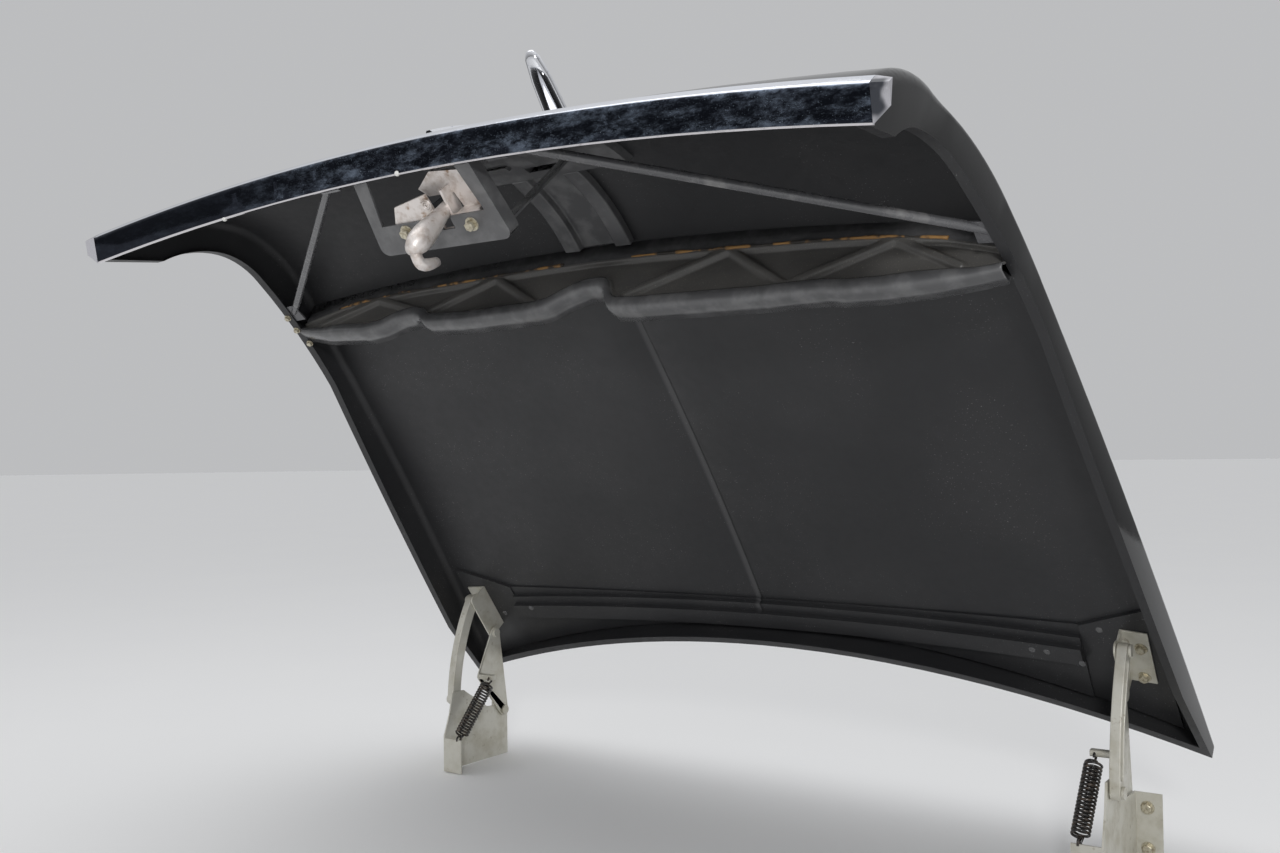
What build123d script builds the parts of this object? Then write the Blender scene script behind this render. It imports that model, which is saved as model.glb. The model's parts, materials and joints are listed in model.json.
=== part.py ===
# Raised car bonnet on its two sprung four-link hinges.
# Millimetres, +X to the car's left side, +Y to the rear, +Z up. The origin is the centre of the four bolts
# that hold the two hinge bases. The bonnet is drawn shut, in axes whose origin is the midpoint between its rear
# corners, and is then tilted open about that line.
import os
from math import atan2, cos, degrees, hypot, radians, sin, tan

from build123d import *

os.makedirs("parts", exist_ok=True)

# Pose of the open bonnet
opening_angle = 51.8
rear_line_y = 32.0
rear_line_z = 109.0
hood = Location((0, rear_line_y, rear_line_z), (-opening_angle, 0, 0))

# Clearances
seat = 0.3
running = 0.08

# Bonnet outline seen from above, in the shut axes
skin = 2.0
rear_half_width = 720.0
rear_bow = 119.0
waist_half_width = 629.0
waist_y = -850.0
waist_bend = 2000.0
neck_half_width = 596.0
neck_y = -1078.0
neck_bend = 100.0
lip_half_width = 634.0
nose_y = -1260.0
edge_radius = 16.0
hem_width = 14.0
lip_return = 20.0
corner_rake = 1.5
open_step = 60.0
open_reach = 200.0
column_half = 500.0

# Lengthwise profile on the centreline, and how far each point drops or moves back at the sides
half_span = 730.0
rear_top = 66.0
mid_top = 90.0
front_top = 74.0
lip_z = -200.0
lip_y = -1214.0
mid_y = -450.0
front_y = -920.0
side_drop_rear = 38.0
side_drop_mid = 52.0
side_drop_front = 60.0
lip_side_drop = 62.0
lip_side_back = 34.0
return_depth = 34.0
return_slope = 28.0

# Crease along the middle of the panel: half width, and per place its share of the top arc and its height
crease_half = 9.0
crease_places = [(0.2, 0.6), (0.55, 3.0), (0.96, 0.6)]

# Lower edge of the side flange at the waist, rear to front: y and height. A line, then three arcs, each through
# a middle point, and a line down to the lip. The rods are fixed at the middle of the second arc.
flange_edge = [(40.0, 15.0), (-150.0, -14.0), (-450.0, -15.0), (-750.0, -9.0), (-912.0, -31.5), (-990.0, -52.0),
               (-1072.0, -102.0), (-1115.0, -195.0)]
rod_seat = 4

# Lip moulding and its end caps
moulding_wall = 4.0
moulding_face = 14.0
moulding_half = 620.2
moulding_round = 5.0
cap_length = 20.0
cap_taper = 0.55

# Hinge pivots, side view, in the model's axes with the bonnet open
hinge_plane = 617.0
web = 3.0
base_front_pivot = (-144.0, 84.0)
base_rear_pivot = (-14.6, 42.7)
bracket_front_pivot = (-89.0, 273.0)
bracket_rear_pivot = (-38.0, 203.0)
pin_radius = 5.0
head_radius = 9.0
head = 4.0

# Front link, a curved channel outboard of the hinge plane
front_link_width = 22.0
front_link_depth = 15.0
front_link_wall = 3.0
front_link_bulge = 12.0

# Rear link, a plate inboard of the hinge plane, with the spring's lug
rear_link_wall = 4.0
rear_link_width = 24.0
lug = (-83.0, 121.0)
lug_size = (14.0, 10.0)
lug_reach = 34.0

# Bonnet bracket, an angle under the corner plate
bracket_eye = 13.0
bracket_flange = 40.0
bracket_reach = 90.0

# Hinge base
bolt_spacing_x = 1272.0
bolt_spacing_z = 60.0
bolt_hole = 4.5
base_top = 100.0
base_bottom = -48.0
base_front = -183.0
flange_wall = 3.0
flange_width = 40.0

# Spring
spring_x = 585.0
spring_radius = 12.0
spring_top_gap = 7.6
spring_low_gap = 4.2
tab_top = 16.0
tab_inner = 575.0

# Front cross brace, drawn on its leaning face: the face's foot, its lean, and the rolled edge as seen on it,
# with x and height of each bend. The arch sits to one side of the middle.
brace_foot_y = -864.0
brace_foot_z = -40.0
brace_lean = 23.5
brace_wing = [(296.0, 5.0), (325.0, 7.0), (345.0, 19.0), (385.0, 20.0), (430.0, -2.0), (500.0, -8.0),
              (560.0, 0.0), (606.0, 14.0)]
brace_arch = [(-119.0, 27.0), (-75.0, 58.0), (16.0, 58.0), (36.0, 12.0)]
brace_bend = 12.0
brace_thick = 34.0
brace_bead = 6.5
brace_top = 150.0
brace_wall = 10.0
brace_soffit = 4.0
brace_end_rise = 16.0
brace_shoulder = (512.0, 96.0)
pocket_depth = 6.0
pocket_corner = 5.0
pocket_arch_gap = 16.0

# Pockets in the cross brace's face, as the x and height of the outer foot, the apex, and the inner foot
pockets = [((308.0, 24.0), (216.0, 98.0), (66.0, 28.0)), ((548.0, 20.0), (455.0, 80.0), (356.0, 38.0))]

# Rear cross brace: rear end and depth of each of its steps, front to rear, and its outline
rear_brace_steps = [(-184.0, 3.0), (-168.0, 11.0), (-136.0, 20.0), (0.0, 9.0)]
rear_brace_front = -204.0
rear_brace_bow = 16.0
rear_brace_tip = (666.0, -256.0)
rear_brace_bend_x = 556.0
rear_brace_inset = 8.0
corner_plate_depth = 6.0
corner_plate_side = 40.0

# Centre channel: a thin sheet with two ribs
channel_half_width = 60.0
channel_front_y = -1056.0
channel_sheet = 2.5
channel_depth = 14.0
rib_width = 28.0

# Nose panel in front of the channel
nose_panel_half = 146.0
nose_panel_front = -1140.0
nose_panel_depth = 14.0
emboss_height = 5.0
emboss_low = (20.0, -1130.0)
emboss_high = (92.0, -1088.0)
slot_low = (-12.0, -1080.0)
slot_high = (44.0, -1070.0)
bead_low_x = -132.0
bead_high_x = -30.0
bead_width = 8.0
bead_places = [-1122.0, -1092.0]

# Latch support and latch
support_z = -214.0
support_wall = 3.0
support_front_half = 98.0
support_rear_half = 112.0
support_front_y = -1181.8
support_lap_y = -1204.0
support_rear_y = -1079.0
support_bar_y = -1120.0
support_arm = 24.0
support_flange = 20.0
support_corner = 12.0
strut_y = -1092.0
strut_width = 16.0
strut_foot_x = 104.0
strut_top_x = 86.0
support_lap = 25.0

# Latch plate on the support's bar: plan corners of its base and of its raised top, the riser between them from
# one x to another, and the ear that carries the safety catch
latch_wall = 4.0
latch_rise = 25.0
latch_base = [(-76.0, -1090.0), (-66.0, -1120.0), (-54.0, -1142.0), (4.0, -1152.0), (8.0, -1120.0),
              (76.0, -1120.0), (76.0, -1090.0)]
latch_top = [(-22.0, -1152.0), (8.0, -1172.0), (72.0, -1166.0), (72.0, -1116.0), (38.0, -1116.0),
             (32.0, -1140.0), (-10.0, -1140.0)]
riser = (38.0, 72.0)
ear_front = -1152.0
ear_rear = -1112.0

# Safety catch: its place across, thickness, pivot, and the points of its hook
catch_x = 14.0
catch_wall = 12.0
catch_pivot = (-1127.0, -196.0)
catch_knee = (-1118.0, -280.0)
catch_toe = (-1092.0, -290.0)
catch_tip = (-1083.0, -252.0)
catch_gap = 4.0
catch_pin = 4.0

# Bracing rods
rod_radius = 6.0
tab_wall = 3.0
tab_half = 16.0
rod_top_x = 142.0
rod_inset = 16.0

# Ornament: shoe on the nose, fin and spear
shoe_wall = 6.0
shoe_low = -150.0
shoe_half_width = 44.0
shoe_rear_y = -1000.0
shoe_front_y = -1212.0
fin_half_width = 4.0
fin_rear_y = -940.0
fin_front_y = -1150.0
spear_tail_y = -900.0
spear_waist_y = -1110.0
spear_tip_y = -1206.0
spear_z = 97.0
spear_half_width = 9.0
spear_radius = 13.0
spear_tail_radius = 3.0
spear_tip_radius = 6.0

sides = {"left": -1, "right": 1}


def share(x):
    """How far out a station stands: 0 on the centreline, 1 at the rear corners."""
    return (x / rear_half_width) ** 2


def lip_point(x):
    """The front lower corner of the skin at a station."""
    return lip_y + lip_side_back * share(x), lip_z - lip_side_drop * share(x)


def toward(point, angle, length):
    """A point moved in the side view, the angle counted up from +Y."""
    return point[0] + length * cos(radians(angle)), point[1] + length * sin(radians(angle))


def side_plane(x):
    return Plane.YZ.offset(x)


def flange_line(x, raised):
    """Lower edge of the side flange as seen from the side, following the crown."""
    lift = side_drop_mid * (share(waist_half_width) - share(x))
    return [(y, z + lift + raised) for y, z in flange_edge]


def top_points(x, depth):
    """Three points of the panel's lengthwise arc at a station."""
    s = share(x)
    return [(flange_edge[0][0], rear_top - side_drop_rear * s - depth),
            (mid_y, mid_top - side_drop_mid * s - depth),
            (front_y, front_top - side_drop_front * s - depth)]


def top_height(x, y):
    """Height of the panel's lengthwise arc at a place."""
    back, middle, front = top_points(x, 0)
    arc = ThreePointArc(back, middle, front, mode=Mode.PRIVATE)
    return (arc @ ((back[0] - y) / (back[0] - front[0]))).Y


def lip_slope(x):
    """Steepness of the nose where it meets the lip, in degrees."""
    top = ThreePointArc(*top_points(x, 0), mode=Mode.PRIVATE)
    nose = TangentArc(top @ 1, lip_point(x), tangent=top % 1, mode=Mode.PRIVATE)
    end = nose % 1
    return degrees(atan2(-end.Y, -end.X))


def crown_section(x, depth, floor, through):
    """Side-view region at a station, depth below the top and floor above the flange, or open below."""
    back, middle, front = top_points(x, depth)
    slope = lip_slope(x)
    lip = toward(lip_point(x), slope - 90, depth)
    heel = toward(toward(lip_point(x), -return_slope, return_depth), 90 - return_slope, floor)
    with BuildSketch(side_plane(x)) as region:
        with BuildLine():
            top = ThreePointArc(back, middle, front)
            if through:
                TangentArc(front, lip, tangent=top % 1)
                low = heel[1] - open_reach
                Polyline(lip, toward(lip, slope + 180, open_step), (heel[0], low), (back[0], low), back)
            else:
                lip = toward(lip, slope, floor)
                TangentArc(front, lip, tangent=top % 1)
                edge = flange_line(x, floor)
                Polyline(lip, heel, edge[7])
                for end, bend, start in ((7, 6, 5), (5, 4, 3), (3, 2, 1)):
                    ThreePointArc(edge[end], edge[bend], edge[start])
                Polyline(edge[1], edge[0], back)
        make_face()
    return region.sketch


def shut(point):
    """A side-view place on the open bonnet, in the shut bonnet's axes."""
    y, z = point[0] - rear_line_y, point[1] - rear_line_z
    turn = radians(opening_angle)
    return y * cos(turn) - z * sin(turn), y * sin(turn) + z * cos(turn)


stations = [-half_span, -half_span / 2, 0, half_span / 2, half_span]


def crown(depth, floor=0, through=False):
    """Solid under the bonnet's top surface."""
    with BuildPart() as body:
        for x in stations:
            add(crown_section(x, depth, floor, through))
        loft()
    return body.part


def plan_outline(inset):
    """Outline of the bonnet seen from above, drawn in by a distance."""
    corner = (rear_half_width - inset, -corner_rake * inset)
    with BuildSketch() as outline:
        with BuildLine():
            ThreePointArc((-corner[0], corner[1]), (0, -rear_bow - inset), corner)
            for side in (-1, 1):
                FilletPolyline((side * corner[0], corner[1]), (side * (waist_half_width - inset), waist_y),
                               (side * (neck_half_width - inset), neck_y),
                               (side * (lip_half_width - inset), nose_y), radius=(waist_bend, neck_bend))
            Line((inset - lip_half_width, nose_y), (lip_half_width - inset, nose_y))
        make_face()
    return outline.sketch


def prism(outline, low=-450.0, high=250.0):
    with BuildPart() as column:
        add(Plane.XY.offset(low) * outline)
        extrude(amount=high - low)
    return column.part


def block(low, high):
    """A box between two corners, kept out of the piece being built."""
    low, high = Vector(*low), Vector(*high)
    size = high - low
    middle = (low + high) * 0.5
    return Pos(middle) * Box(size.X, size.Y, size.Z, mode=Mode.PRIVATE)


def column(x_low, x_high, y_low, y_high):
    """A block through the whole height of the bonnet."""
    return block((x_low, y_low, -column_half), (x_high, y_high, column_half))


def rolled(body, radius):
    """The same body with the edges between its top and its flanks rounded."""
    with BuildPart() as piece:
        add(body)
        tops = piece.faces().filter_by(lambda f: f.normal_at().Z > 0.05 and f.area > 20000)
        flanks = piece.faces().filter_by(lambda f: abs(f.normal_at().X) > 0.8 and f.area > 1000)
        top_edges = tops.edges()
        fillet([e for e in flanks.edges() if any(e.is_same(t) for t in top_edges)], radius)
    return piece.part


def crease(depth):
    """Low ridge along the middle of the panel, fading out at its two ends."""
    top = ThreePointArc(*top_points(0, depth), mode=Mode.PRIVATE)
    with BuildPart() as ridge:
        for place, high in crease_places:
            at = top @ place
            with BuildSketch(Plane.XZ.offset(-at.X)):
                Polygon((-crease_half, at.Y - skin / 2), (0, at.Y + high), (crease_half, at.Y - skin / 2),
                        align=None)
        loft()
    return ridge.part


def write(piece, name, place=Location()):
    shape = piece.part.moved(place)
    shape.label = name
    export_step(shape, f"parts/{name}.step")


# Skin
under_skin = crown(skin + seat, through=True)
with BuildPart() as bonnet_skin:
    add(rolled(crown(0) & prism(plan_outline(0)), edge_radius))
    add(crease(0))
    add(rolled(crown(skin, skin) & prism(plan_outline(skin)), edge_radius - skin), mode=Mode.SUBTRACT)
    add(crease(skin), mode=Mode.SUBTRACT)
    add(crown(lip_return, through=True) & prism(plan_outline(hem_width)), mode=Mode.SUBTRACT)
write(bonnet_skin, "bonnet_skin", hood)


# Lip moulding, an angle section round the lip
def moulding_corners(x, face):
    """Outer corner of the angle at a station, and the directions up the nose and back along the return."""
    up, back = lip_slope(x), -return_slope
    inner = toward(toward(lip_point(x), up + 90, seat), back - 90, seat)
    outer = toward(toward(lip_point(x), up + 90, seat + moulding_wall), back - 90, seat + moulding_wall)
    return inner, outer, toward(outer, up, face), toward(outer, back, return_depth + moulding_wall)


def moulding_section(x):
    up, back = lip_slope(x), -return_slope
    inner, outer, top, tail = moulding_corners(x, moulding_face + moulding_wall)
    bend_up, bend_back = toward(outer, up, moulding_round), toward(outer, back, moulding_round)
    with BuildSketch(side_plane(x)) as section:
        with BuildLine():
            Polyline(bend_up, top, toward(top, up - 90, moulding_wall), inner,
                     toward(tail, back + 90, moulding_wall), tail, bend_back)
            TangentArc(bend_up, bend_back, tangent=(bend_up[0] - top[0], bend_up[1] - top[1]))
        make_face()
    return section.sketch


with BuildPart() as lip_moulding:
    for x in stations:
        add(moulding_section(x))
    loft()
    add(column(-moulding_half, moulding_half, nose_y, 0), mode=Mode.INTERSECT)
write(lip_moulding, "lip_moulding", hood)

for name, side in sides.items():
    with BuildPart() as cap:
        for reach, size in ((seat, 1.0), (cap_length, cap_taper)):
            x = side * (moulding_half + reach)
            inner, outer, top, tail = moulding_corners(x, (moulding_face + moulding_wall) * size)
            tail = (outer[0] + (tail[0] - outer[0]) * size, outer[1] + (tail[1] - outer[1]) * size)
            with BuildSketch(side_plane(x)):
                Polygon(outer, tail, top, align=None)
        loft()
    write(cap, f"lip_cap_{name}", hood)

# Front cross brace: a slab on the leaning face with a rolled lower edge, closed behind, with sunk pockets
brace_face = Plane(origin=(0, brace_foot_y, brace_foot_z), x_dir=(1, 0, 0),
                   z_dir=(0, -cos(radians(brace_lean)), -sin(radians(brace_lean))))
brace_line = [(-x, z) for x, z in reversed(brace_wing)] + brace_arch + brace_wing
brace_ends = [(x, z + brace_end_rise) for x, z in (brace_line[0], brace_line[-1])]
brace_shoulders = [(-brace_shoulder[0], brace_shoulder[1]), brace_shoulder]
arch_side = pocket_arch_gap - brace_arch[0][0]
with BuildPart() as front_cross_brace:
    with BuildSketch(brace_face):
        with BuildLine():
            FilletPolyline(*brace_line, radius=brace_bend)
            Polyline(brace_line[-1], brace_ends[-1], brace_shoulders[-1], (brace_shoulders[-1][0], brace_top),
                     (brace_shoulders[0][0], brace_top), brace_shoulders[0], brace_ends[0], brace_line[0])
        make_face()
    profile = extrude(amount=-brace_thick)
    hollow = Location(brace_face.z_dir * -brace_wall + brace_face.y_dir * brace_soffit)
    add(profile.moved(hollow), mode=Mode.SUBTRACT)
    with BuildSketch(brace_face):
        for outer_foot, apex, inner_foot in pockets:
            for side in (-1, 1):
                corners = [(side * x, z) for x, z in (outer_foot, apex, inner_foot)]
                corners[2] = (max(corners[2][0], arch_side), corners[2][1]) if side > 0 else (
                    min(corners[2][0], -arch_side), corners[2][1])
                with BuildLine():
                    FilletPolyline(*corners, radius=pocket_corner, close=True)
                make_face()
    extrude(amount=-pocket_depth, mode=Mode.SUBTRACT)
    with BuildLine(brace_face) as bead_line:
        FilletPolyline(*brace_line, radius=brace_bend)
    with BuildSketch(Plane(origin=bead_line.line @ 0, z_dir=bead_line.line % 0)):
        Circle(brace_bead)
    sweep(path=bead_line.line)
    add(under_skin, mode=Mode.INTERSECT)
write(front_cross_brace, "front_cross_brace", hood)

# Rear cross brace: a stepped section between the bends, and flat corner plates that carry the hinges
below_plate = crown(skin + seat + corner_plate_depth, through=True)
with BuildPart() as rear_cross_brace:
    for place in (-1, -0.5, 0, 0.5, 1):
        x = place * rear_brace_bend_x
        front = rear_brace_tip[1]
        steps = [(front, brace_top)]
        for rear, depth in rear_brace_steps:
            low = skin + seat + depth
            steps += [(front, top_height(x, front) - low), (rear, top_height(x, rear) - low)]
            front = rear
        with BuildSketch(side_plane(x)):
            Polygon(*steps, (front, brace_top), align=None)
    loft()
    for side in (-1, 1):
        near, far = sorted((side * rear_brace_bend_x, side * rear_half_width))
        add(column(near, far, rear_brace_tip[1], 0) - below_plate)
    add(under_skin, mode=Mode.INTERSECT)
    with BuildSketch(Plane.XY.offset(-column_half)):
        with BuildLine():
            corner_x = rear_half_width - corner_plate_side
            back_y = -hem_width - seat - rear_brace_inset
            ThreePointArc((-corner_x, back_y), (0, -rear_bow - hem_width - seat), (corner_x, back_y))
            for side in (-1, 1):
                Polyline((side * corner_x, back_y), (side * rear_brace_tip[0], rear_brace_tip[1]),
                         (side * rear_brace_bend_x, rear_brace_front))
            ThreePointArc((-rear_brace_bend_x, rear_brace_front), (0, rear_brace_front + rear_brace_bow),
                          (rear_brace_bend_x, rear_brace_front))
        make_face()
    extrude(amount=2 * column_half, mode=Mode.INTERSECT)
write(rear_cross_brace, "rear_cross_brace", hood)

# Centre channel: a thin sheet from the nose panel to the front brace, with a rib along each side
below_sheet = crown(skin + seat + channel_sheet, through=True)
below_rib = crown(skin + seat + channel_depth, through=True)
brace_skin_y = brace_foot_y - tan(radians(brace_lean)) * (front_top - brace_foot_z) - seat
rib_in = channel_half_width - rib_width
with BuildPart() as centre_channel:
    add(under_skin & column(-channel_half_width, channel_half_width, channel_front_y, brace_skin_y))
    add(below_rib, mode=Mode.SUBTRACT)
    add(below_sheet & column(-rib_in, rib_in, channel_front_y, brace_skin_y), mode=Mode.SUBTRACT)
write(centre_channel, "centre_channel", hood)

# Nose panel: a shallow pan bonded under the nose, embossed on one side and beaded on the other, with a slot
below_panel = crown(skin + seat + nose_panel_depth, through=True)
below_emboss = crown(skin + seat + nose_panel_depth + emboss_height, through=True)
nose_panel_rear = channel_front_y - seat
with BuildPart() as nose_panel:
    add(under_skin & column(-nose_panel_half, nose_panel_half, nose_panel_front, nose_panel_rear))
    add(below_panel, mode=Mode.SUBTRACT)
    add(below_panel & column(emboss_low[0], emboss_high[0], emboss_low[1], emboss_high[1]))
    for y in bead_places:
        add(below_panel & column(bead_low_x, bead_high_x, y, y + bead_width))
    add(below_emboss, mode=Mode.SUBTRACT)
    add(column(slot_low[0], slot_high[0], slot_low[1], slot_high[1]), mode=Mode.SUBTRACT)
write(nose_panel, "nose_panel", hood)


def span(side, near, far):
    """Plane on the low-x side of a layer between two distances from the middle, and the layer's thickness."""
    return side_plane(min(side * near, side * far)), abs(far - near)


def pin(side, near, far, at, radius):
    """A round pin or rivet head across a layer."""
    plane, length = span(side, near, far)
    with BuildPart() as shank:
        with BuildSketch(plane):
            with Locations(at):
                Circle(radius)
        extrude(amount=length)
    return shank.part


def bar(side, near, far, eyes):
    """A flat plate with round ends, drawn as the hull of its eyes, each a place and a radius."""
    plane, length = span(side, near, far)
    with BuildPart() as plate:
        with BuildSketch(plane):
            with BuildLine():
                for at, radius in eyes:
                    add(Pos(*at) * Edge.make_circle(radius))
            make_hull()
        extrude(amount=length)
    return plate.part


# Layer of tab metal lying on the flange's lower edge and on the lip's return
hem_layer = crown(tab_wall, skin + seat) - crown(tab_wall, skin + seat + tab_wall)

# Latch support: two arms from the lip and a bar across them, with folded outer edges and two struts to the nose
catch_out = catch_x + catch_wall + catch_gap
catch_rear = catch_pivot[0] + 2 * catch_wall
plate_low = support_z + support_wall
with BuildPart() as latch_support:
    with BuildSketch(Plane.XY.offset(support_z)) as tray:
        Polygon((-support_front_half, support_front_y), (support_front_half, support_front_y),
                (support_rear_half, support_rear_y), (-support_rear_half, support_rear_y), align=None)
        fillet(tray.vertices().group_by(Axis.Y)[-1], support_corner)
    extrude(amount=support_flange)
    for inset, low_z, rear_y in ((support_wall, support_z + support_wall, support_rear_y - support_wall),
                                 (support_arm, support_z, support_bar_y)):
        near, far = support_front_half - inset, support_rear_half - inset
        with BuildSketch(Plane.XY.offset(low_z)):
            Polygon((-near, support_front_y - support_wall), (near, support_front_y - support_wall),
                    (far, rear_y), (-far, rear_y), align=None)
        extrude(amount=support_flange, mode=Mode.SUBTRACT)
    add(block((catch_x - catch_gap, support_bar_y, support_z), (catch_out, catch_rear, plate_low)),
        mode=Mode.SUBTRACT)
    for side in (-1, 1):
        with BuildSketch(Plane.XZ.offset(-strut_y)):
            Polygon((side * strut_foot_x, support_z + support_wall),
                    (side * (strut_foot_x - strut_width), support_z + support_wall),
                    (side * (strut_top_x - strut_width), mid_top), (side * strut_top_x, mid_top), align=None)
        extrude(amount=support_wall)
        near, far = sorted((side * (support_front_half - support_arm), side * support_front_half))
        add(hem_layer & block((near, support_lap_y, support_z - support_lap), (far, support_front_y + support_wall, support_z + support_lap)))
    add(crown(skin + seat + nose_panel_depth + emboss_height + seat, through=True), mode=Mode.INTERSECT)
write(latch_support, "latch_support", hood)

# Latch plate: a base on the support's bar, a riser, and a raised top plate with the ear of the safety catch
plate_top = plate_low + latch_rise
ear_in = catch_x + catch_wall + seat
with BuildPart() as latch_plate:
    with BuildSketch(Plane.XY.offset(plate_low)):
        Polygon(*latch_base, align=None)
    extrude(amount=latch_wall)
    add(block((catch_x - catch_gap, ear_front, plate_low), (catch_out, catch_rear, plate_top)), mode=Mode.SUBTRACT)
    add(block((riser[0], latch_top[3][1] - latch_wall, plate_low), (riser[1], latch_top[3][1], plate_top)))
    with BuildSketch(Plane.XY.offset(plate_top - latch_wall)):
        Polygon(*latch_top, align=None)
    extrude(amount=latch_wall)
    add(block((ear_in, ear_front, plate_low + latch_wall), (ear_in + latch_wall, ear_rear, plate_top)))
    add(pin(1, catch_x, ear_in + latch_wall, catch_pivot, catch_pin))
write(latch_plate, "latch_plate", hood)

with BuildPart() as safety_catch:
    for eyes in (((catch_pivot, 11), (catch_knee, 15)), ((catch_knee, 13), (catch_toe, 8)), ((catch_toe, 7), (catch_tip, 5))):
        add(bar(1, catch_x, catch_x + catch_wall, eyes))
    add(pin(1, catch_x, catch_x + catch_wall, catch_pivot, catch_pin + running), mode=Mode.SUBTRACT)
write(safety_catch, "safety_catch", hood)

# Bracing rods, each with a flattened tab on the lip's return flange and on the hem
seat_y, seat_z = flange_edge[rod_seat]
rod_rest = skin + seat + rod_radius
for name, side in sides.items():
    top = toward(toward(lip_point(rod_top_x), -return_slope, return_depth / 2), 90 - return_slope, rod_rest)
    outline_step = (seat_y - waist_y) / (neck_y - waist_y)
    low_x = waist_half_width + outline_step * (neck_half_width - waist_half_width) - rod_inset
    start = Vector(side * rod_top_x, *top)
    end = Vector(side * low_x, *flange_line(low_x, rod_rest)[rod_seat])
    with BuildPart() as rod:
        with BuildSketch(Plane(origin=start, z_dir=end - start)):
            Circle(rod_radius)
        extrude(amount=(end - start).length)
        reach = Vector(tab_half, tab_half, 2 * tab_half)
        for middle in (start, end):
            add(hem_layer & block(tuple(middle - reach), tuple(middle + reach)))
        add(prism(plan_outline(skin + seat)), mode=Mode.INTERSECT)
    write(rod, f"brace_rod_{name}", hood)

# Ornament: a pointed shoe lying on the nose, and a level spear on a fin above it
with BuildPart() as ornament_shoe:
    with BuildSketch(Plane.XY.offset(shoe_low)):
        with BuildLine():
            for side in (-1, 1):
                ThreePointArc((0, shoe_rear_y), (side * shoe_half_width, (shoe_rear_y + shoe_front_y) / 2),
                              (0, shoe_front_y))
        make_face()
    extrude(amount=2 * column_half)
    add(crown(-seat - shoe_wall, through=True), mode=Mode.INTERSECT)
    add(crown(-seat, through=True), mode=Mode.SUBTRACT)
write(ornament_shoe, "ornament_shoe", hood)

with BuildPart() as ornament_spear:
    with BuildSketch(side_plane(0)):
        tail = (spear_tail_y, spear_z + spear_tail_radius)
        waist = (spear_waist_y, spear_z + spear_radius)
        nose = (spear_tip_y, spear_z + spear_tip_radius)
        with BuildLine():
            TangentArc(waist, tail, tangent=(1, 0))
            Polyline(waist, nose, (spear_tip_y, spear_z), (spear_tail_y, spear_z), tail)
        make_face()
    revolve(axis=Axis((0, 0, spear_z), (0, 1, 0)))
    add(column(-spear_half_width, spear_half_width, spear_tip_y - spear_radius, 0), mode=Mode.INTERSECT)
    with BuildSketch(side_plane(-fin_half_width)):
        Polygon((fin_rear_y, spear_z), (spear_waist_y - 60, spear_z), (fin_front_y, -120), (fin_rear_y, 0),
                align=None)
    extrude(amount=2 * fin_half_width)
    add(crown(-2 * seat - shoe_wall, through=True), mode=Mode.SUBTRACT)
write(ornament_spear, "ornament_spear", hood)


# Hinges
def midpoint(a, b, bulge):
    """Middle of two points moved to the front by the bulge."""
    length = hypot(b[0] - a[0], b[1] - a[1])
    across = ((a[1] - b[1]) / length, (b[0] - a[0]) / length)
    sign = -1 if across[0] > 0 else 1
    return (a[0] + b[0]) / 2 + sign * bulge * across[0], (a[1] + b[1]) / 2 + sign * bulge * across[1]


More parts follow.
